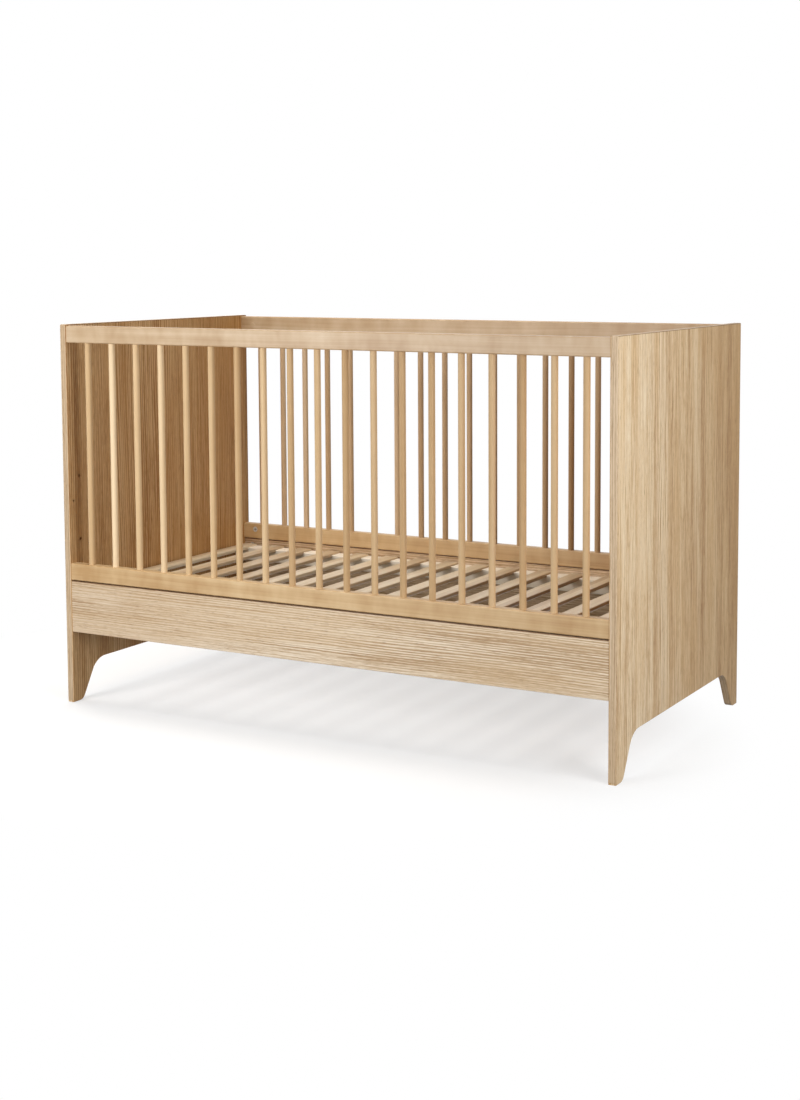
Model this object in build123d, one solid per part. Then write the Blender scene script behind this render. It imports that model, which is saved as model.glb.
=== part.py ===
from build123d import *

import os
from dataclasses import dataclass
from math import radians, tan

# Baby cot: two end panels on shaped legs, spindle sides, and a slatted base on pegs.
# Millimetres, +Z up, X along the length, the front side faces -Y.
# The origin lies on the floor, under the middle of the cot.

# Overall size
overall_length = 1454.0
overall_depth = 748.0
overall_height = 925.0

# End panels: a board whose lower edge arches up between two tapered legs
panel_thickness = 18.0
panel_edge_radius = 1.0
panel_top_radius = 3.0
arch_height = 93.0
arch_radius = 54.0
leg_angle = 60.6
foot_width = 35.5
foot_inner_radius = 20.0
foot_outer_radius = 3.0

# Rails: solid wood bars that hold the spindles
rail_height = 41.0
rail_thickness = 23.0
rail_setback = 1.0
rail_edge_radius = 3.0
top_rail_drop = 3.0

# Aprons: boards below the bottom rails
apron_bottom = 175.0
apron_height = 126.0
apron_thickness = 18.0
apron_setback = 1.0
apron_edge_radius = 1.0
apron_gap = 2.0

# Spindles: round rods glued into blind sockets in the rails
spindle_count = 19
spindle_diameter = 15.0
spindle_end_distance = 56.5
spindle_socket_depth = 15.0
spindle_glue_gap = 0.1
spindle_top_gap = 1.0

# Cam fittings and dowels that pull the rails and aprons against the end panels
cam_diameter = 14.7
cam_length = 12.5
cam_pocket_gap = 0.15
cam_drive_length = 9.0
cam_drive_width = 1.6
cam_drive_depth = 2.0
rail_cam_distance = 38.0
rail_cam_offset = 5.0
apron_cam_distance = 24.0
apron_cam_margin = 17.5
bolt_axis_depth = 9.0
bolt_diameter = 6.0
bolt_neck_diameter = 3.6
bolt_neck_length = 4.0
bolt_head_length = 3.5
bolt_thread_length = 11.0
bolt_thread_gap = 0.1
bolt_passage_gap = 0.5
dowel_diameter = 8.0
dowel_gap = 0.1
dowel_end_gap = 1.0
dowel_length_in_panel = 10.0
dowel_length_in_member = 18.0
rail_dowel_offset = 11.0

# Pegs in the end panels that carry the base, at any one of three heights
peg_lowest_height = 245.0
peg_step = 155.0
peg_positions = 3
peg_diameter = 8.0
peg_edge_distance = 37.0
peg_hole_depth = 12.0
peg_hole_gap = 0.1
peg_projection = 14.0
peg_collar_diameter = 13.0
peg_collar_length = 2.0
peg_tip_radius = 1.0

# Spare bolt holes in the front of the end panels, for a half-height guard rail
guard_hole_height = 496.0

# Slatted base: two long rails with housings for the slats
base_rail_width = 44.0
base_rail_height = 35.0
base_rail_edge_radius = 1.5
base_side_clearance = 2.0
base_end_clearance = 3.0
base_rest_clearance = 0.3
slat_count = 16
slat_width = 39.0
slat_thickness = 10.0
slat_edge_radius = 2.5
slat_end_distance = 7.0
slat_end_setback = 2.0
slat_housing_depth = 5.5
slat_housing_gap = 0.2

# Places worked out from the sizes above
half_depth = overall_depth / 2
half_inner = overall_length / 2 - panel_thickness
leg_corner = foot_width + arch_height / tan(radians(leg_angle))
top_rail_bottom = overall_height - top_rail_drop - rail_height
bottom_rail_bottom = apron_bottom + apron_height + apron_gap
bottom_rail_top = bottom_rail_bottom + rail_height
spindle_pitch = 2 * (half_inner - spindle_end_distance) / (spindle_count - 1)
spindle_line = half_depth - rail_setback - rail_thickness / 2
rail_inner_line = half_depth - rail_setback - rail_thickness
peg_line = half_depth - peg_edge_distance
base_bottom = peg_lowest_height + peg_diameter / 2 + base_rest_clearance
base_rail_top = base_bottom + base_rail_height
base_half_depth = rail_inner_line - base_side_clearance
base_half_length = half_inner - base_end_clearance
slat_bottom = base_rail_top - slat_housing_depth
slat_first = half_inner - slat_end_distance - slat_width / 2
slat_pitch = 2 * slat_first / (slat_count - 1)

FRONT, BACK = -1, 1
LEFT, RIGHT = -1, 1


@dataclass
class Member:
    """A bar or board between the end panels, with the heights of its fixings."""

    side: int
    bottom: float
    height: float
    thickness: float
    setback: float
    edge_radius: float
    cam_distance: float
    cam_heights: tuple
    dowel_heights: tuple

    def line(self, depth):
        """Y of the plane that lies this far into the wood from the inner face."""
        return self.side * (half_depth - self.setback - self.thickness + depth)


def rail(side, bottom, toward_spindles):
    """A rail's fixings: the cam on the spindles' side of its middle, the dowel on the other."""
    middle = bottom + rail_height / 2
    cam_height = middle + toward_spindles * rail_cam_offset
    dowel_height = middle - toward_spindles * rail_dowel_offset
    return Member(side, bottom, rail_height, rail_thickness, rail_setback, rail_edge_radius,
                  rail_cam_distance, (cam_height,), (dowel_height,))


def apron(side):
    """An apron's fixings: a cam near its top and bottom, and a dowel between them."""
    low = apron_bottom + apron_cam_margin
    high = apron_bottom + apron_height - apron_cam_margin
    return Member(side, apron_bottom, apron_height, apron_thickness, apron_setback, apron_edge_radius,
                  apron_cam_distance, (low, high), ((low + high) / 2,))


members = {
    "front_top_rail": rail(FRONT, top_rail_bottom, -1),
    "front_bottom_rail": rail(FRONT, bottom_rail_bottom, 1),
    "front_apron": apron(FRONT),
    "back_top_rail": rail(BACK, top_rail_bottom, -1),
    "back_bottom_rail": rail(BACK, bottom_rail_bottom, 1),
    "back_apron": apron(BACK),
}
spindle_places = [-half_inner + spindle_end_distance + i * spindle_pitch for i in range(spindle_count)]
slat_places = [-slat_first + i * slat_pitch for i in range(slat_count)]


def rod(end, start, length, diameter, y, z):
    """A round bar along X: from start outwards, on the left or the right half of the cot."""
    middle = end * (start + length / 2)
    return Pos(middle, y, z) * Rot(0, 90, 0) * Cylinder(diameter / 2, length)


def panel_outline():
    """The board seen from the end: tapered legs, an arch between them and a straight top."""
    corners = [
        (-half_depth, 0),
        (-half_depth + foot_width, 0),
        (-half_depth + leg_corner, arch_height),
        (half_depth - leg_corner, arch_height),
        (half_depth - foot_width, 0),
        (half_depth, 0),
        (half_depth, overall_height),
        (-half_depth, overall_height),
    ]
    outline = make_face(Polyline(*corners, close=True))
    rounded = {
        arch_radius: corners[2:4],
        foot_inner_radius: (corners[1], corners[4]),
        foot_outer_radius: (corners[0], corners[5]),
        panel_top_radius: corners[6:],
    }
    for radius, places in rounded.items():
        for place in places:
            corner = outline.vertices().sort_by_distance((*place, 0))[0]
            outline = fillet(corner, radius)
    return outline


def end_panel(end):
    """An end panel with the blind holes for its bolts, dowels and pegs in the inner face."""
    outer = end * (half_inner + panel_thickness)
    board = extrude(Plane.YZ.offset(outer) * panel_outline(), -end * panel_thickness)
    faces = board.faces().sort_by(Axis.X)
    board = fillet(faces[0].edges() + faces[-1].edges(), panel_edge_radius)
    bolt_hole = bolt_diameter + 2 * bolt_thread_gap
    dowel_hole = dowel_diameter + 2 * dowel_gap
    peg_hole = peg_diameter + 2 * peg_hole_gap
    holes = []
    for member in members.values():
        for height in member.cam_heights:
            place = member.line(bolt_axis_depth), height
            holes.append(rod(end, half_inner, bolt_thread_length, bolt_hole, *place))
        for height in member.dowel_heights:
            place = member.line(member.thickness / 2), height
            holes.append(rod(end, half_inner, dowel_length_in_panel, dowel_hole, *place))
    for side in (FRONT, BACK):
        for step in range(peg_positions):
            place = side * peg_line, peg_lowest_height + step * peg_step
            holes.append(rod(end, half_inner, peg_hole_depth, peg_hole, *place))
    guard_place = members["front_bottom_rail"].line(bolt_axis_depth), guard_hole_height
    holes.append(rod(end, half_inner, bolt_thread_length, bolt_hole, *guard_place))
    return board - holes


def plain_member(member):
    """A rail or apron with eased long edges and the drillings for its fixings."""
    middle = member.line(member.thickness / 2), member.bottom + member.height / 2
    bar = Pos(0, *middle) * Box(2 * half_inner, member.thickness, member.height)
    bar = fillet(bar.edges().filter_by(Axis.X), member.edge_radius)
    dowel_hole = dowel_diameter + 2 * dowel_gap
    dowel_depth = dowel_length_in_member + dowel_end_gap
    cuts = []
    for end in (LEFT, RIGHT):
        for height in member.cam_heights:
            cuts.append(cam_frame(member, end, height) * cam_pocket())
            place = member.line(bolt_axis_depth), height
            passage = bolt_diameter + 2 * bolt_passage_gap
            cuts.append(rod(end, half_inner - member.cam_distance, member.cam_distance, passage, *place))
        for height in member.dowel_heights:
            place = member.line(member.thickness / 2), height
            cuts.append(rod(end, half_inner - dowel_depth, dowel_depth, dowel_hole, *place))
    return bar - cuts


def spindle_rail(member, socket_floor):
    """A rail with a blind socket for each spindle, centred in its thickness."""
    radius = spindle_diameter / 2 + spindle_glue_gap
    middle = socket_floor + spindle_socket_depth / 2
    sockets = [
        Pos(x, member.side * spindle_line, middle) * Cylinder(radius, spindle_socket_depth)
        for x in spindle_places
    ]
    return plain_member(member) - sockets


def spindle(side, x):
    """A round rod that stands on its lower socket's floor and stops short of the upper one's."""
    low = bottom_rail_top - spindle_socket_depth
    high = top_rail_bottom + spindle_socket_depth - spindle_top_gap
    return Pos(x, side * spindle_line, (low + high) / 2) * Cylinder(spindle_diameter / 2, high - low)


def cam_frame(member, end, height):
    """The frame of a cam: on the inner face, Z out of the wood, X towards the end panel."""
    place = end * (half_inner - member.cam_distance), member.line(0), height
    return Plane(origin=place, x_dir=(end, 0, 0), z_dir=(0, -member.side, 0))


def cam_pocket():
    """The round pocket in the wood that takes a cam."""
    return Pos(0, 0, -cam_length / 2) * Cylinder(cam_diameter / 2 + cam_pocket_gap, cam_length)


def cam():
    """A drum with a cross drive in its face and a side slot that takes the bolt's head."""
    drum = Pos(0, 0, -cam_length / 2) * Cylinder(cam_diameter / 2, cam_length)
    slot_width = bolt_diameter + 2 * bolt_passage_gap
    slot_start = -bolt_head_length - bolt_passage_gap
    slot_length = cam_diameter / 2 - slot_start
    slot = Pos(slot_start + slot_length / 2, 0, -bolt_axis_depth) * Box(slot_length, slot_width, slot_width)
    drive_place = Pos(0, 0, -cam_drive_depth / 2)
    drive_along = drive_place * Box(cam_drive_length, cam_drive_width, cam_drive_depth)
    drive_across = drive_place * Box(cam_drive_width, cam_drive_length, cam_drive_depth)
    return drum - [slot, drive_along, drive_across]


def cam_bolt(member, end, height):
    """A bolt screwed into the end panel, with a necked head inside the cam."""
    place = member.line(bolt_axis_depth), height
    cam_middle = half_inner - member.cam_distance
    shank_length = member.cam_distance - bolt_neck_length + bolt_thread_length
    head = rod(end, cam_middle - bolt_head_length, bolt_head_length, bolt_diameter, *place)
    neck = rod(end, cam_middle, bolt_neck_length, bolt_neck_diameter, *place)
    shank = rod(end, cam_middle + bolt_neck_length, shank_length, bolt_diameter, *place)
    return head + neck + shank


def dowel(member, end, height):
    """A wooden dowel, half in the rail or apron and half in the end panel."""
    length = dowel_length_in_member + dowel_length_in_panel
    return rod(end, half_inner - dowel_length_in_member, length, dowel_diameter,
               member.line(member.thickness / 2), height)


def peg(end, side):
    """A steel peg with a collar, pushed into the lowest hole of an end panel."""
    place = side * peg_line, peg_lowest_height
    pin = rod(end, half_inner - peg_projection, peg_projection + peg_hole_depth, peg_diameter, *place)
    tip = pin.edges().sort_by(Axis.X)[0 if end == RIGHT else -1]
    collar = rod(end, half_inner - peg_collar_length, peg_collar_length, peg_collar_diameter, *place)
    return fillet(tip, peg_tip_radius) + collar


def base_rail(side):
    """A long rail of the base, with a housing across its top for each slat."""
    middle = side * (base_half_depth - base_rail_width / 2)
    bar = Pos(0, middle, base_bottom + base_rail_height / 2)
    bar = bar * Box(2 * base_half_length, base_rail_width, base_rail_height)
    bar = fillet(bar.edges().filter_by(Axis.X), base_rail_edge_radius)
    width = slat_width + 2 * slat_housing_gap
    housing = Box(width, base_rail_width, slat_housing_depth)
    return bar - [Pos(x, middle, slat_bottom + slat_housing_depth / 2) * housing for x in slat_places]


def slat(x):
    """A slat across the base, lying in its two housings."""
    length = 2 * (base_half_depth - slat_end_setback)
    board = Pos(x, 0, slat_bottom + slat_thickness / 2) * Box(slat_width, length, slat_thickness)
    return fillet(board.edges().filter_by(Axis.Y), slat_edge_radius)


def fixings(make, heights):
    """One fixing at each end of every rail and apron, for each height that the function gives."""
    return Compound(children=[
        make(member, end, height)
        for member in members.values()
        for end in (LEFT, RIGHT)
        for height in heights(member)
    ])


lower_socket_floor = bottom_rail_top - spindle_socket_depth
nodes = {
    "left_end_panel": end_panel(LEFT),
    "right_end_panel": end_panel(RIGHT),
    "cam_drums": fixings(lambda *place: cam_frame(*place) * cam(), lambda member: member.cam_heights),
    "cam_bolts": fixings(cam_bolt, lambda member: member.cam_heights),
    "wooden_dowels": fixings(dowel, lambda member: member.dowel_heights),
    "support_pegs": Compound(children=[peg(end, side) for end in (LEFT, RIGHT) for side in (FRONT, BACK)]),
    "base_slats": Compound(children=[slat(x) for x in slat_places]),
}
for side_name, side in (("front", FRONT), ("back", BACK)):
    top, bottom = members[f"{side_name}_top_rail"], members[f"{side_name}_bottom_rail"]
    nodes[f"{side_name}_top_rail"] = spindle_rail(top, top_rail_bottom)
    nodes[f"{side_name}_bottom_rail"] = spindle_rail(bottom, lower_socket_floor)
    nodes[f"{side_name}_apron"] = plain_member(members[f"{side_name}_apron"])
    nodes[f"base_{side_name}_rail"] = base_rail(side)
    for number, x in enumerate(spindle_places, start=1):
        nodes[f"{side_name}_spindle_{number:02d}"] = spindle(side, x)

os.makedirs("parts", exist_ok=True)
for name, shape in nodes.items():
    export_step(shape, f"parts/{name}.step")
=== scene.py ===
import bpy
import numpy as np
from mathutils import Matrix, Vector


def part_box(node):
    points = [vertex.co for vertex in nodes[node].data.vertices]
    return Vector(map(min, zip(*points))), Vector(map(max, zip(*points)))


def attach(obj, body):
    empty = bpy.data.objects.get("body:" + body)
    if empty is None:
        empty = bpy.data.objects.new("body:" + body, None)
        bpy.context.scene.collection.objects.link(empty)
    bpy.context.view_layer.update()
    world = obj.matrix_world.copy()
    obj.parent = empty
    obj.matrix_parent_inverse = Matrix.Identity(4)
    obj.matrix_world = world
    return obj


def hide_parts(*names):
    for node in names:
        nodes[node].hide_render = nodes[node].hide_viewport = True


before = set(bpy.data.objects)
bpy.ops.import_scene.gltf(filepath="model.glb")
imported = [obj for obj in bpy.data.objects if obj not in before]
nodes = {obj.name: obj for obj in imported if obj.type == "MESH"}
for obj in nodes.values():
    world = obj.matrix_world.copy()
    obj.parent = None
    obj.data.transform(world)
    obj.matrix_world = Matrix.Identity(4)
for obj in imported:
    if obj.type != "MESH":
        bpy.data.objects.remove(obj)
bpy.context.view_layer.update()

# A baby cot in a white studio. Metres, +Z up, X along the length, the front faces -Y.
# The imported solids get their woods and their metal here. The slats are made again with eased
# ends and a slight crown, the end panels get the veneer bands of their narrow edges, and the
# top rails get cover caps over their fittings.

# The end panels, as the solids have them
HALF_DEPTH = 0.374
PANEL_TOP = 0.925
PANEL_MIDDLE = 0.718
FOOT_WIDTH = 0.0355
ARCH_HEIGHT = 0.093
LEG_ANGLE = np.radians(60.6)
TOP_RADIUS = 0.003
FOOT_RADIUS = 0.020
ARCH_RADIUS = 0.054

# The inner faces of rails and aprons, and the gap between an apron and its bottom rail
RAIL_FACE = 0.350
APRON_FACE = 0.355
APRON_TOP = 0.301
GAP_MIDDLE = 0.302

# Rows of pieces
SPINDLE_PITCH = 0.0725
SLAT_PITCH = 0.091
SLAT_COUNT = 16
SLAT_WIDTH = 0.039

# The corners of the slats, the easing of their ends and the rise of their crown
SLAT_CORNER = 0.0025
SLAT_EASE = 0.0012
SLAT_CROWN = 0.0003

# The veneer bands: their section, and how far it lies outside the middle of the panel
BAND_HALF_WIDTH = 0.0084
BAND_PROUD = 0.0003
BAND_MARGIN = 0.00012
BAND_SUNK = 0.0006
BAND_SHIFT = 0.0004
BAND_GRAIN = "band_grain"

# How high over the floor the bands start, the run under a foot that leads the arch's path in,
# and the distance from an end to the ring close to it
OUTER_START = 0.004
ARCH_START = 0.003
TOE_RUN = 0.013
END_RING = 0.001

# The cover caps of the top rails
CAP_X = 0.671
CAP_Z = 0.8965
CAP_RADIUS = 0.0088
CAP_RISE = 0.0008
CAP_SUNK = 0.0002


class Wire:
    """A socket of a material: arithmetic on values adds Math nodes, node() adds any other node."""

    def __init__(self, tree, socket=None):
        self.tree = tree
        self.socket = socket

    def node(self, kind, settings={}, inputs={}, output=0):
        """Adds a node of this type: its settings first, then its sockets' values or links."""
        made = self.tree.nodes.new("ShaderNode" + kind)
        for name, value in settings.items():
            if name == "stops":
                elements = made.color_ramp.elements
                while len(elements) < len(value):
                    elements.new(1.0)
                for element, (position, colour) in zip(elements, value):
                    element.position = position
                    element.color = colour
            else:
                setattr(made, name, value)
        for name, value in inputs.items():
            if isinstance(value, Wire):
                self.tree.links.new(value.socket, made.inputs[name])
            else:
                made.inputs[name].default_value = value
        return Wire(self.tree, made.outputs[output] if made.outputs else None)

    def maths(self, operation, *values):
        """An operation on single values."""
        return self.node("Math", {"operation": operation}, dict(enumerate(values)))

    def vector(self, operation, *values, output=0):
        """An operation on vectors."""
        return self.node("VectorMath", {"operation": operation}, dict(enumerate(values)), output)

    def __add__(self, other):
        return self.maths("ADD", self, other)

    def __radd__(self, other):
        return self.maths("ADD", other, self)

    def __sub__(self, other):
        return self.maths("SUBTRACT", self, other)

    def __rsub__(self, other):
        return self.maths("SUBTRACT", other, self)

    def __mul__(self, other):
        return self.maths("MULTIPLY", self, other)

    def __rmul__(self, other):
        return self.maths("MULTIPLY", other, self)

    def part(self, axis):
        """One component of a vector."""
        return self.node("SeparateXYZ", {}, {"Vector": self}, axis)

    def step(self, low, high):
        """A smooth step from 0 at low to 1 at high; a low above the high turns it round."""
        settings = {"interpolation_type": "SMOOTHSTEP"}
        return self.node("MapRange", settings, {"Value": self, "From Min": low, "From Max": high})

    def mix(self, first, second):
        """The first colour where this value is 0, the second where it is 1."""
        return self.node("Mix", {"data_type": "RGBA"}, {0: self, 6: first, 7: second}, 2)

    def tint(self, colour, by):
        """The colour, times the other one where this value is 1."""
        settings = {"data_type": "RGBA", "blend_type": "MULTIPLY"}
        return self.node("Mix", settings, {0: self, 6: colour, 7: by}, 2)

    def ramp(self, stops):
        """The colours of a list of (value, colour) stops."""
        return self.node("ValToRGB", {"stops": stops}, {"Fac": self})


def paint(red, green, blue):
    """A colour as seen on a screen, 0 to 255, turned into the linear colour that shaders use."""
    seen = np.array((red, green, blue)) / 255
    linear = np.where(seen <= 0.04045, seen / 12.92, ((seen + 0.055) / 1.055) ** 2.4)
    return (*linear.tolist(), 1.0)


def new_material(name):
    """An empty material, and the wire that its first nodes come from."""
    material = bpy.data.materials.new(name)
    material.use_nodes = True
    material.node_tree.nodes.clear()
    return material, Wire(material.node_tree)


def finish(start, sockets, height, strength, relief):
    """The end of each material: the shader with its sockets, and a fine relief of this height."""
    bump = start.node("Bump", {}, {"Strength": strength, "Distance": relief, "Height": height})
    shader = start.node("BsdfPrincipled", {}, {**sockets, "Normal": bump})
    start.node("OutputMaterial", {}, {"Surface": shader})


def finish_wood(start, colour, roughness, height, relief, gloss):
    """What all woods share: colour, roughness, a fine relief and the gloss of the finish."""
    sockets = {"Base Color": colour, "Roughness": roughness, "Specular IOR Level": gloss}
    finish(start, sockets, height, 0.35, relief)


def stretch(along, across_scale, along_scale):
    """A scale for each axis: one along the grain and another across it."""
    return tuple(along_scale if axis == along else across_scale for axis in "XYZ")


def noise(place, scale, detail, roughness=0.5, output=0):
    """Smooth noise on a place that is scaled axis by axis."""
    scaled = place.vector("MULTIPLY", place, scale)
    sockets = {"Vector": scaled, "Scale": 1.0, "Detail": detail, "Roughness": roughness}
    return place.node("TexNoise", {}, sockets, output)


def wander(place, along, across_scale, along_scale, amount):
    """The place pushed across the grain by (noise - 1/2) times an amount, so that lines wander."""
    drift = noise(place, stretch(along, across_scale, along_scale), 1.0, output="Color")
    centred = place.vector("SUBTRACT", drift, (0.5, 0.5, 0.5))
    push = place.vector("MULTIPLY", centred, stretch(along, amount, 0.0))
    return place.vector("ADD", place, push)


def eased_edges(start, along):
    """1 on the eased long edges, 0 on flat faces: from the squares of the normal's components.

    On a bar the product of the two components across its length peaks half way round an edge.
    On an upright panel the component across its thickness does that by itself.
    """
    normal = start.node("TexCoord", {}, {}, "Normal")
    x, y, z = (normal.part(axis) for axis in range(3))
    if along == "X":
        return 4 * (y * y) * (z * z)
    if along == "Y":
        return 4 * (x * x) * (z * z)
    return 4 * (x * x) * (1 - x * x)


def own_tone(place, cell):
    """A random value for each cell of a grid, given by how many cells a metre has on each axis."""
    cells = place.vector("FLOOR", place.vector("MULTIPLY_ADD", place, cell, (0.5, 0.5, 0.5)))
    return place.node("TexWhiteNoise", {}, {"Vector": cells}, "Value")


def board_tints(place, colour, tints):
    """The colour tinted from one value of an axis to another, for each (axis, from, to, tint).

    The axis "side" is the distance from the middle of the length.
    """
    for axis, low, high, tint in tints:
        measure = place.maths("ABSOLUTE", place.part(0)) if axis == "side" else place.part(axis)
        colour = measure.step(low, high).tint(colour, tint)
    return colour


def oak(name, along, palette, tints, spacing, depth, shade_line=None, attribute=None):
    """Lacquered oak veneer: broad streaks, growth lines, dashes and fine pores along the grain.

    Streaks are about 50 mm wide and drift between a grey cream and a tan. Broad growth lines
    show in some zones only. Hair lines, a sine of the place across the grain with a wandering
    phase, lie one spacing apart, and the depth says how strongly they show. Thin threads and
    dashes cover the whole face. Eased edges darken towards the pores' colour, partly as wear and
    partly as painted shade. A shade line (half depth, top) is painted shade: a dark line, 2 mm
    wide, along the back edge and the top of a board. With an attribute, the grain follows that
    and not the place in the cot.
    """
    material, start = new_material(name)
    if attribute:
        spot = start.node("Attribute", {"attribute_name": attribute}, {}, "Vector")
    else:
        spot = start.node("TexCoord", {}, {}, "Object")
    pale, middle, deep, tan, pore = palette
    place = wander(spot, along, 2.2, 0.9, 0.022)
    place = wander(place, along, 26.0, 7.0, 0.0007)
    streaks = noise(place, stretch(along, 22.0, 0.9), 1.0)
    lines = noise(place, stretch(along, 120.0, 1.1), 1.0)
    zone = noise(place, stretch(along, 14.0, 0.4), 1.0).step(0.42, 0.62)
    threads = noise(place, stretch(along, 2.3 / spacing, 9.0), 1.0)
    dashes = noise(place, stretch(along, 560.0, 48.0), 1.0)
    hue = noise(place, stretch(along, 17.0, 1.6), 1.0)
    drawn_lines = 0.5 + (0.4 + 0.6 * zone) * (lines - 0.5)
    across = place.vector("DOT_PRODUCT", place, stretch(along, 1.0, 0.0), output="Value")
    phase = noise(place, stretch(along, 0.33 / spacing, 1.8), 1.0)
    waves = start.maths("SINE", 2 * np.pi / spacing * across + 11.0 * phase)
    hairs = waves * (dashes + 0.5 * zone - 0.25)
    tone = 0.25 * streaks + 0.16 * drawn_lines + 0.22 * threads + 0.14 * dashes
    tone = tone + depth * hairs + 0.115
    colour = tone.ramp([(0.42, deep), (0.50, middle), (0.58, pale)])
    colour = (0.40 * hue.step(0.44, 0.66)).mix(colour, tan)
    colour = board_tints(spot, colour, tints)
    pores = noise(place, stretch(along, 1300.0, 60.0), 1.0).step(0.56, 0.68)
    early = 1 - 0.6 * threads.step(0.40, 0.60)
    dark = 0.45 * pores * early
    colour = dark.mix(colour, pore)
    if not attribute:
        # Wear and painted shade: the eased edges darken towards the pores' colour
        darkened_edges = eased_edges(start, along) * noise(place, (90.0, 90.0, 90.0), 2.0).step(0.25, 0.5)
        colour = (0.65 * darkened_edges).mix(colour, pore)
    # Painted shade: a dark line along the back edge and the top of a board, and along an apron's
    # top under the gap
    if shade_line:
        half_depth, top = shade_line
        beyond = start.maths("MAXIMUM", spot.part(1) - half_depth, spot.part(2) - top)
        colour = (0.75 * beyond.step(-0.0024, -0.0008)).mix(colour, pore)
    roughness = 0.50 + 0.30 * dark + 0.12 * (dashes - 0.5)
    height = dashes - 1.5 * dark
    finish_wood(start, colour, roughness, height, 0.0003, 0.25)
    return material


def lacquered(name, along, palette, cell, tints, mottle, edge_share, gloss):
    """Satin solid wood: faint growth lines and flecks, with its own tone in each cell of the grid.

    The mottle says how strongly the cloudy figure shows, and the edge share how dark the eased
    edges are: partly wear and partly painted shade, such as the dark line of the gap between a
    bottom rail and its apron.
    """
    material, start = new_material(name)
    spot = start.node("TexCoord", {}, {}, "Object")
    pale, middle, deep = palette
    place = wander(spot, along, 3.0, 1.2, 0.016)
    bands = noise(place, stretch(along, 30.0, 0.9), 2.0)
    lines = noise(place, stretch(along, 210.0, 1.5), 3.0, 0.6)
    figure = noise(place, stretch(along, 12.0, 22.0), 2.0)
    flecks = noise(place, stretch(along, 900.0, 150.0), 1.0).step(0.60, 0.74)
    own = own_tone(spot, cell)
    tone = 0.28 * bands + 0.18 * lines + mottle * (figure - 0.5) + 0.18 * own + 0.18
    colour = tone.ramp([(0.36, deep), (0.49, middle), (0.62, pale)])
    colour = board_tints(spot, colour, tints)
    colour = (0.20 * flecks).mix(colour, deep)
    # Wear and painted shade: the eased edges darken towards the deep tone
    if edge_share:
        darkened_edges = eased_edges(start, along) * noise(place, (70.0, 70.0, 70.0), 2.0).step(0.3, 0.6)
        colour = (edge_share * darkened_edges).mix(colour, deep)
    roughness = 0.42 + 0.12 * (bands - 0.5) + 0.08 * flecks
    height = 0.4 * lines - 0.5 * flecks
    finish_wood(start, colour, roughness, height, 0.0002, gloss)
    return material


def planed(name, along, palette, cell, side_shade_tints, dullness, gloss):
    """Planed wood: straight growth lines and faint saw marks, with its own tone in each cell.

    The side tints paint shade on the sides only. The dullness is the middle value of the roughness.
    """
    material, start = new_material(name)
    spot = start.node("TexCoord", {}, {}, "Object")
    pale, middle, deep = palette
    place = wander(spot, along, 6.0, 2.5, 0.012)
    bands = noise(place, stretch(along, 45.0, 1.2), 2.0)
    lines = noise(place, stretch(along, 260.0, 2.2), 3.0, 0.6)
    fibres = noise(place, stretch(along, 1200.0, 30.0), 1.0)
    marks = noise(place, stretch(along, 20.0, 420.0), 1.0)
    own = own_tone(spot, cell)
    tone = 0.30 * bands + 0.28 * lines + 0.14 * fibres + 0.28 * own
    colour = tone.ramp([(0.32, deep), (0.48, middle), (0.64, pale)])
    # Painted shade: the side tints go on the faces that stand upright
    tilt = start.node("TexCoord", {}, {}, "Normal").part(2)
    sides = (tilt * tilt).step(0.6, 0.2)
    colour = sides.mix(colour, board_tints(spot, colour, side_shade_tints))
    darkened_edges = eased_edges(start, along) * noise(place, (60.0, 60.0, 60.0), 2.0).step(0.3, 0.6)
    colour = (0.30 * darkened_edges).mix(colour, deep)
    roughness = dullness + 0.14 * (fibres - 0.5) + 0.06 * marks
    height = 0.5 * fibres + 0.3 * lines + 0.25 * marks
    finish_wood(start, colour, roughness, height, 0.0003, gloss)
    return material


def zinc(name):
    """Zinc-plated steel: bright, with cloudy plating and fine turning marks.

    Painted shade darkens the drive of a cam, which is what lies deeper than the face of its
    rail or apron.
    """
    material, start = new_material(name)
    place = start.node("TexCoord", {}, {}, "Object")
    clouds = noise(place, (240.0, 240.0, 240.0), 3.0)
    scratches = noise(place, (2600.0, 300.0, 2600.0), 2.0)
    tone = 0.6 * clouds + 0.4 * scratches
    colour = tone.ramp([(0.3, paint(196, 196, 190)), (0.6, paint(226, 226, 222)),
                        (0.8, paint(238, 238, 236))])
    roughness = 0.36 + 0.22 * clouds + 0.08 * scratches
    # Painted shade: dark colour down in the drive of a cam, deeper than its rail's or apron's face
    in_apron = place.part(2).step(GAP_MIDDLE + 0.0002, GAP_MIDDLE - 0.0002)
    drum_face = RAIL_FACE + (APRON_FACE - RAIL_FACE) * in_apron
    drive_shade = (start.maths("ABSOLUTE", place.part(1)) - drum_face).step(0.0004, 0.0014)
    colour = (0.9 * drive_shade).mix(colour, paint(46, 42, 38))
    sockets = {"Base Color": colour, "Roughness": roughness, "Metallic": 1.0}
    finish(start, sockets, scratches, 0.2, 0.0001)
    return material


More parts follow.
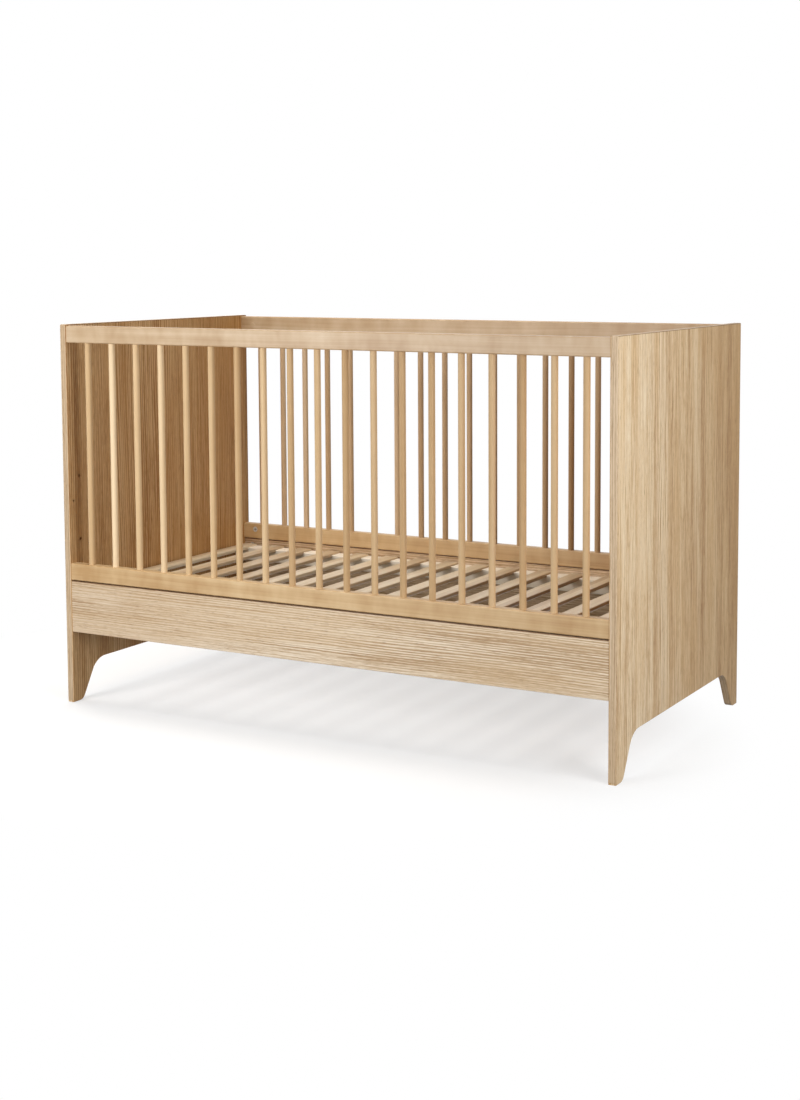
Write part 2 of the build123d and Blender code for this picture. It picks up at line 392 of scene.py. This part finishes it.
# Woods: pale, middle and deep tones, and for the oak its tan streaks and its pores
PANEL_OAK = (paint(238, 219, 189), paint(219, 192, 153), paint(178, 141, 98),
             paint(212, 178, 131), paint(106, 70, 36))
APRON_OAK = (paint(237, 222, 200), paint(218, 197, 169), paint(180, 150, 115),
             paint(211, 183, 146), paint(114, 78, 46))
BAND_OAK = (paint(211, 188, 158), paint(196, 171, 140), paint(174, 147, 115),
            paint(189, 159, 122), paint(114, 82, 52))
TOP_RAIL_WOOD = (paint(213, 191, 162), paint(195, 168, 134), paint(170, 137, 98))
LOW_RAIL_WOOD = (paint(220, 193, 150), paint(204, 172, 127), paint(182, 145, 98))
SPINDLE_WOOD = (paint(240, 214, 176), paint(224, 194, 152), paint(198, 163, 119))
SLAT_WOOD = (paint(229, 210, 178), paint(214, 191, 156), paint(190, 162, 126))
BASE_RAIL_WOOD = (paint(250, 240, 222), paint(245, 231, 208), paint(232, 212, 184))
DOWEL_WOOD = (paint(228, 200, 158), paint(212, 180, 134), paint(190, 154, 108))

# Grids of tones, in cells per metre: each spindle, each slat, and the front and back rails
SIDES = 1.4
WHOLE_CELL = (0.0, 0.0, 0.0)
SPINDLE_CELL = (1 / SPINDLE_PITCH, SIDES, 0.0)
RAIL_CELL = (0.0, SIDES, 0.0)
SLAT_CELL = (1 / SLAT_PITCH, 0.0, 0.0)

# How the tone turns along a piece, partly the wood's own tone and partly painted light and
# shade: the end panels grow warmer to the back, and warmer and darker on their inner faces as
# painted shade; the aprons darker to the left; and the spindles, the rails and the sides of the
# slats browner to the right, on the slats' sides as painted shade. The back side is warmer and
# darker than the front side, as painted shade of the inside.
PANEL_SHADE_TINTS = [(1, -0.34, 0.40, (0.82, 0.71, 0.55, 1.0)),
               ("side", 0.719, 0.713, (0.79, 0.65, 0.49, 1.0))]
APRON_SHADE_TINTS = [(0, 0.1, -0.7, (0.86, 0.83, 0.80, 1.0)), (1, -0.1, 0.1, (1.0, 0.92, 0.82, 1.0))]
SPINDLE_SHADE_TINTS = [(0, -0.5, 0.5, (0.75, 0.71, 0.67, 1.0)), (1, -0.1, 0.1, (0.84, 0.81, 0.82, 1.0))]
SLAT_SHADE_TINTS = [(0, -0.6, 0.5, (0.62, 0.52, 0.40, 1.0))]
RAIL_SHADE_TINTS = [(0, 0.0, 0.6, (0.88, 0.86, 0.85, 1.0)), (1, -0.1, 0.1, (0.94, 0.89, 0.82, 1.0))]

# The painted shade line of the aprons has no limit in depth, only their top
NO_LIMIT = 1.0

panel_oak = oak("panel_oak", "Z", PANEL_OAK, PANEL_SHADE_TINTS, spacing=0.0078, depth=0.10,
                shade_line=(HALF_DEPTH, PANEL_TOP))
apron_oak = oak("apron_oak", "X", APRON_OAK, APRON_SHADE_TINTS, spacing=0.0058, depth=0.09,
                shade_line=(NO_LIMIT, APRON_TOP))
band_oak = oak("band_oak", "X", BAND_OAK, [], spacing=0.0058, depth=0.09, attribute=BAND_GRAIN)
top_rail_wood = lacquered("top_rail_wood", "X", TOP_RAIL_WOOD, RAIL_CELL, RAIL_SHADE_TINTS,
                          mottle=0.30, edge_share=0.75, gloss=0.4)
low_rail_wood = lacquered("low_rail_wood", "X", LOW_RAIL_WOOD, RAIL_CELL, RAIL_SHADE_TINTS,
                          mottle=0.30, edge_share=0.80, gloss=0.4)
spindle_wood = lacquered("spindle_wood", "Z", SPINDLE_WOOD, SPINDLE_CELL, SPINDLE_SHADE_TINTS,
                         mottle=0.05, edge_share=0.0, gloss=0.1)
dowel_wood = lacquered("dowel_wood", "X", DOWEL_WOOD, SPINDLE_CELL, [],
                       mottle=0.05, edge_share=0.0, gloss=0.3)
slat_wood = planed("slat_wood", "Y", SLAT_WOOD, SLAT_CELL, SLAT_SHADE_TINTS, dullness=0.30, gloss=0.55)
base_rail_wood = planed("base_rail_wood", "X", BASE_RAIL_WOOD, WHOLE_CELL, [],
                        dullness=0.62, gloss=0.3)
zinc_steel = zinc("zinc_steel")


def finish_of(node):
    """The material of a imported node, by its name."""
    if node.endswith("end_panel"):
        return panel_oak
    if node.endswith("apron"):
        return apron_oak
    if "spindle" in node:
        return spindle_wood
    if node.startswith("base_"):
        return base_rail_wood
    if node.endswith("rail"):
        return top_rail_wood if "top" in node else low_rail_wood
    return dowel_wood if node == "wooden_dowels" else zinc_steel


for name, node in nodes.items():
    node.data.materials.clear()
    node.data.materials.append(finish_of(name))


def swept_piece(name, rings, material, body, replaced=(), grain=None):
    """A closed surface through rings of points, an array of (stations, points round, 3).

    Each ring joins the next by quads, and a point at the middle of each end ring closes it.
    """
    stations, count = rings.shape[:2]
    ends = rings[[0, -1]].mean(axis=1)
    points = np.concatenate([rings.reshape(-1, 3), ends])
    station, place = np.meshgrid(np.arange(stations - 1), np.arange(count), indexing="ij")
    here = station * count + place
    beside = station * count + (place + 1) % count
    quads = np.stack([here, beside, beside + count, here + count], axis=-1).reshape(-1, 4)
    round_ring = np.arange(count)
    ahead = (round_ring + 1) % count
    last = (stations - 1) * count
    first_middle = np.full(count, stations * count)
    first_fan = np.stack([ahead, round_ring, first_middle], axis=-1)
    last_fan = np.stack([last + round_ring, last + ahead, first_middle + 1], axis=-1)
    mesh = bpy.data.meshes.new(name)
    faces = quads.tolist() + first_fan.tolist() + last_fan.tolist()
    mesh.from_pydata(points.tolist(), [], faces)
    mesh.polygons.foreach_set("use_smooth", np.ones(len(mesh.polygons), bool))
    if grain is not None:
        values = np.concatenate([grain.reshape(-1, 3), grain[[0, -1]].mean(axis=1)])
        layer = mesh.attributes.new(BAND_GRAIN, "FLOAT_VECTOR", "POINT")
        layer.data.foreach_set("vector", values.astype(np.float32).ravel())
    mesh.materials.append(material)
    mesh.update()
    piece = bpy.data.objects.new(name, mesh)
    bpy.context.scene.collection.objects.link(piece)
    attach(piece, body)
    if replaced:
        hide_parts(*replaced)


def slat_rings(x, low, high, half_length):
    """A slat's rings: a rounded rectangle carried along Y and drawn in at both ends.

    Round the section, a point is its corner's centre plus the corner radius at the angle, with
    more points across the top, which rises by crown * (1 - (offset / half width)^2). Near an
    end the radius shrinks as a quarter circle does.
    """
    top_points, middle_rings = 5, 7
    quarter = np.linspace(0, np.pi / 2, 6)
    angle = np.concatenate([quarter, np.full(top_points, np.pi / 2), quarter + np.pi / 2,
                            quarter + np.pi, quarter + 1.5 * np.pi])
    right = np.ones(len(quarter))
    over_top = np.linspace(1, -1, top_points + 2)[1:-1]
    side = np.concatenate([right, over_top, -right, -right, right])
    upper = np.where(np.arange(len(angle)) < 2 * len(quarter) + top_points, 1.0, -1.0)
    turn_in = np.linspace(0, np.pi / 2, 5)
    near = half_length - SLAT_EASE + SLAT_EASE * np.cos(turn_in)
    drawn = SLAT_EASE * (1 - np.sin(turn_in))
    between = np.linspace(near[-1], -near[-1], middle_rings + 2)[1:-1]
    along = np.concatenate([near, between, -near[::-1]])
    inset = np.concatenate([drawn, np.zeros(middle_rings), drawn[::-1]])
    radius = SLAT_CORNER - inset[:, None]
    across = side * (SLAT_WIDTH / 2 - SLAT_CORNER) + radius * np.cos(angle)
    height = upper * ((high - low) / 2 - SLAT_CORNER) + radius * np.sin(angle)
    lift = SLAT_CROWN * (1 - (2 * across / SLAT_WIDTH) ** 2) * (upper > 0)
    rise = (low + high) / 2 + height + lift
    return np.stack([x + across, np.broadcast_to(along[:, None], across.shape), rise], axis=-1)


low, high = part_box("base_slats")
slat_first = low.x + SLAT_WIDTH / 2
slat_pitch = (high.x - low.x - SLAT_WIDTH) / (SLAT_COUNT - 1)
for index in range(SLAT_COUNT):
    rings = slat_rings(slat_first + index * slat_pitch, low.z, high.z, high.y)
    swept_piece(f"slat_{index + 1:02d}", rings, slat_wood, "mattress_base",
                ["base_slats"])


def cap_rings(x, y, z, inward):
    """A cover cap's rings: circles about the Y axis that form a flat back and a low pillow.

    At an angle from 0 to 88 degrees, the radius is radius * cos(angle) and the height over the
    rail is rise * sin(angle)^(3/5). The back lies a little inside the rail.
    """
    angle = np.linspace(0, np.radians(88), 10)
    reach = CAP_RADIUS * np.concatenate([[0.5, 1.0], np.cos(angle)])
    height = np.concatenate([[-CAP_SUNK, -CAP_SUNK], CAP_RISE * np.sin(angle) ** 0.6])
    turn = np.linspace(0, 2 * np.pi, 32, endpoint=False)
    across = reach[:, None] * np.cos(turn)
    up = -inward * reach[:, None] * np.sin(turn)
    out = np.broadcast_to(y + inward * height[:, None], across.shape)
    return np.stack([x + across, out, z + up], axis=-1)


# The fittings of the top rails don't show, so they have cover caps of the rails' own wood
for x, end in ((-CAP_X, "left"), (CAP_X, "right")):
    for y, side in ((-RAIL_FACE, "front"), (RAIL_FACE, "back")):
        rings = cap_rings(x, y, CAP_Z, -np.sign(y))
        swept_piece(f"{side}_{end}_cap", rings, top_rail_wood, "cot_frame")


def rounded_path(corners, radii, steps):
    """Points along straight runs that are joined by arcs.

    At a corner the arc of that radius starts and ends radius / tan(half the inner angle) away.
    """
    corners = np.array(corners)
    runs = [corners[:1]]
    for before, corner, after, radius in zip(corners, corners[1:], corners[2:], radii):
        back = (before - corner) / np.linalg.norm(before - corner)
        forth = (after - corner) / np.linalg.norm(after - corner)
        half = np.arccos(np.clip(back @ forth, -1, 1)) / 2
        middle = corner + (back + forth) / np.linalg.norm(back + forth) * radius / np.sin(half)
        start = corner + back * radius / np.tan(half) - middle
        end = corner + forth * radius / np.tan(half) - middle
        share = np.linspace(0, 1, steps)[:, None]
        spread = np.pi - 2 * half
        arc = (np.sin((1 - share) * spread) * start + np.sin(share * spread) * end) / np.sin(spread)
        runs.append(middle + arc)
    runs.append(corners[-1:])
    return np.concatenate(runs)


def path_length(path):
    """The length along a path at each of its points: the sum of the distances between them."""
    return np.concatenate([[0.0], np.cumsum(np.linalg.norm(np.diff(path, axis=0), axis=1))])


def band_rings(path, middle_x):
    """A veneer band's rings: a thin section carried along a path in the panel's plane.

    At v from -1 to 1 across the band, its outer face stands proud * (1 - v^8) - margin above the
    edge of the panel, and its inner face lies below it. The grain attribute is the length along
    the path, the place across and the height. A ring close to each end keeps the shading of the
    long faces flat up to there.
    """
    length = path_length(path)
    stations = np.union1d(length, (END_RING, length[-1] - END_RING))
    path = np.stack([np.interp(stations, length, path[:, axis]) for axis in (0, 1)], axis=1)
    tangent = np.gradient(path, axis=0)
    tangent /= np.linalg.norm(tangent, axis=1, keepdims=True)
    outward = np.stack([-tangent[:, 1], tangent[:, 0]], axis=1)
    across = np.linspace(-1, 1, 9)
    face = BAND_PROUD * (1 - across ** 8) - BAND_MARGIN
    section_x = np.concatenate([across, across[::-1]]) * BAND_HALF_WIDTH
    section_h = np.concatenate([face, np.full(len(across), -BAND_SUNK)])
    spot = path[:, None, :] + outward[:, None, :] * section_h[None, :, None]
    x = np.broadcast_to(middle_x + section_x, spot.shape[:2])
    along = np.broadcast_to(stations[:, None], x.shape)
    grain = np.stack([along, x, np.broadcast_to(section_h, x.shape)], axis=-1)
    return np.stack([x, spot[..., 0], spot[..., 1]], axis=-1), grain


leg_corner = HALF_DEPTH - FOOT_WIDTH - ARCH_HEIGHT / np.tan(LEG_ANGLE)
foot_inner = HALF_DEPTH - FOOT_WIDTH
outer_path = rounded_path(
    [(-HALF_DEPTH, OUTER_START), (-HALF_DEPTH, PANEL_TOP),
     (HALF_DEPTH, PANEL_TOP), (HALF_DEPTH, OUTER_START)],
    [TOP_RADIUS, TOP_RADIUS], 9)
arch_path = rounded_path(
    [(foot_inner + TOE_RUN, 0.0), (foot_inner, 0.0), (leg_corner, ARCH_HEIGHT),
     (-leg_corner, ARCH_HEIGHT), (-foot_inner, 0.0), (-foot_inner - TOE_RUN, 0.0)],
    [FOOT_RADIUS, ARCH_RADIUS, ARCH_RADIUS, FOOT_RADIUS], 21)
arch_path = arch_path[arch_path[:, 1] > ARCH_START]
for side, end in ((-1, "left"), (1, "right")):
    for path, place in ((outer_path, "outer"), (arch_path, "arch")):
        rings, grain = band_rings(path, side * (PANEL_MIDDLE + BAND_SHIFT))
        swept_piece(f"{end}_{place}_band", rings, band_oak, "cot_frame", grain=grain)


# The studio. The floor is dim where it throws light on the cot. The shift of the ellipse that
# shows the cot's shadow is given in shares of its half axes.
WHITE = (1.0, 1.0, 1.0, 1.0)
DIM_FLOOR = (0.14, 0.13, 0.12, 1.0)
FLOOR_REACH = 12.0
FLOOR_LEVEL = -0.0005
SHADOW_HALF_AXES = (1.05, 0.80)
SHADOW_SHIFT = (0.24, 0.25, 0.0)
AMBIENT = 0.02
COT_MIDDLE = (0.0, 0.0, 0.5)


def seen_directly(start):
    """1 for what the eye, a mirror or a glass sees, and 0 for light that falls on the cot."""
    eye = start.node("LightPath", {}, {}, "Is Camera Ray")
    mirror = start.node("LightPath", {}, {}, "Is Glossy Ray")
    glass = start.node("LightPath", {}, {}, "Is Transmission Ray")
    return start.maths("MAXIMUM", start.maths("MAXIMUM", eye, mirror), glass)


def studio_floor():
    """A flat floor, white to the eye, that keeps the cot's soft shadow and throws little light.

    Inside an ellipse about the cot, a part of what it shows is its own light and shade, and
    beyond that it is plain white.
    """
    mesh = bpy.data.meshes.new("studio_floor")
    corners = FLOOR_REACH * np.array([(-1, -1, 0), (1, -1, 0), (1, 1, 0), (-1, 1, 0)])
    corners[:, 2] = FLOOR_LEVEL
    mesh.from_pydata(corners.tolist(), [], [(0, 1, 2, 3)])
    floor = bpy.data.objects.new("studio_floor", mesh)
    bpy.context.scene.collection.objects.link(floor)
    material, start = new_material("floor_white")
    place = start.node("TexCoord", {}, {}, "Object")
    shares = (1 / SHADOW_HALF_AXES[0], 1 / SHADOW_HALF_AXES[1], 0.0)
    centred = place.vector("MULTIPLY_ADD", place, shares, SHADOW_SHIFT)
    reach_out = place.vector("LENGTH", centred, output="Value")
    seen = seen_directly(start)
    diffuse = start.node("BsdfDiffuse", {}, {"Color": seen.mix(DIM_FLOOR, WHITE)})
    glow = start.node("Emission", {}, {"Color": WHITE, "Strength": 1.0})
    whiteness = seen * (0.45 + 0.55 * reach_out.step(0.75, 1.15))
    shader = start.node("MixShader", {}, {0: whiteness, 1: diffuse, 2: glow})
    start.node("OutputMaterial", {}, {"Surface": shader})
    mesh.materials.append(material)


def studio_world():
    """White all round to the eye, and a weaker even light on the cot."""
    world = bpy.data.worlds.new("studio")
    world.use_nodes = True
    world.node_tree.nodes.clear()
    start = Wire(world.node_tree)
    strength = AMBIENT + (1 - AMBIENT) * seen_directly(start)
    sky = start.node("Background", {}, {"Color": WHITE, "Strength": strength})
    start.node("OutputWorld", {}, {"Surface": sky})
    bpy.context.scene.world = world


def softbox(name, place, size, power, target=COT_MIDDLE, mirrored=True):
    """A square lamp that faces its target; one that isn't mirrored leaves no gleam on gloss."""
    lamp = bpy.data.lights.new(name, "AREA")
    lamp.shape = "SQUARE"
    lamp.size = size
    lamp.energy = power
    box = bpy.data.objects.new(name, lamp)
    box.visible_glossy = mirrored
    bpy.context.scene.collection.objects.link(box)
    away = np.subtract(place, target)
    away /= np.linalg.norm(away)
    side = np.cross((0, 0, 1), away)
    side /= np.linalg.norm(side)
    turned = np.stack([side, np.cross(away, side), away], axis=1)
    box.matrix_world = Matrix.Translation(place) @ Matrix(turned.tolist()).to_4x4()


# The top lamp's target lies a little off straight below it, which gives its sides a direction
studio_floor()
studio_world()
softbox("front_softbox", (-1.0, -2.6, 0.95), 1.2, 55.0)
softbox("right_softbox", (2.6, -1.4, 0.8), 1.2, 41.0)
softbox("high_softbox", (2.3, -0.6, 2.2), 1.2, 17.0)
softbox("top_softbox", (-0.6, 0.0, 2.6), 1.486, 38.0, target=(-0.59, 0.0, 0.0))
softbox("back_softbox", (-1.2, 3.0, 0.6), 1.2, 44.0, mirrored=False)
softbox("left_softbox", (-2.9, 0.5, 1.0), 1.6, 40.0)

# The camera of the picture: 1100 pixels high, with the lens axis right of and above its middle
PICTURE_HEIGHT = 1100
FOCAL_PIXELS = 1721.9
AXIS_SHIFT = (50.0, -141.4)
CAMERA_PLACE = (2.0768, -3.5741, 1.0834)
CAMERA_TURN = ((0.879175, -0.039105, 0.474891),
               (0.476489, 0.078416, -0.875676),
               (-0.002996, 0.996153, 0.087575))
camera = bpy.data.cameras.new("camera")
camera.sensor_fit = "AUTO"
camera.sensor_width = 36.0
camera.lens = FOCAL_PIXELS * camera.sensor_width / PICTURE_HEIGHT
camera.shift_x = -AXIS_SHIFT[0] / PICTURE_HEIGHT
camera.shift_y = AXIS_SHIFT[1] / PICTURE_HEIGHT
view = bpy.data.objects.new("camera", camera)
bpy.context.scene.collection.objects.link(view)
view.matrix_world = Matrix.Translation(CAMERA_PLACE) @ Matrix(CAMERA_TURN).to_4x4()
bpy.context.scene.camera = view
bpy.context.scene.view_settings.view_transform = "Standard"
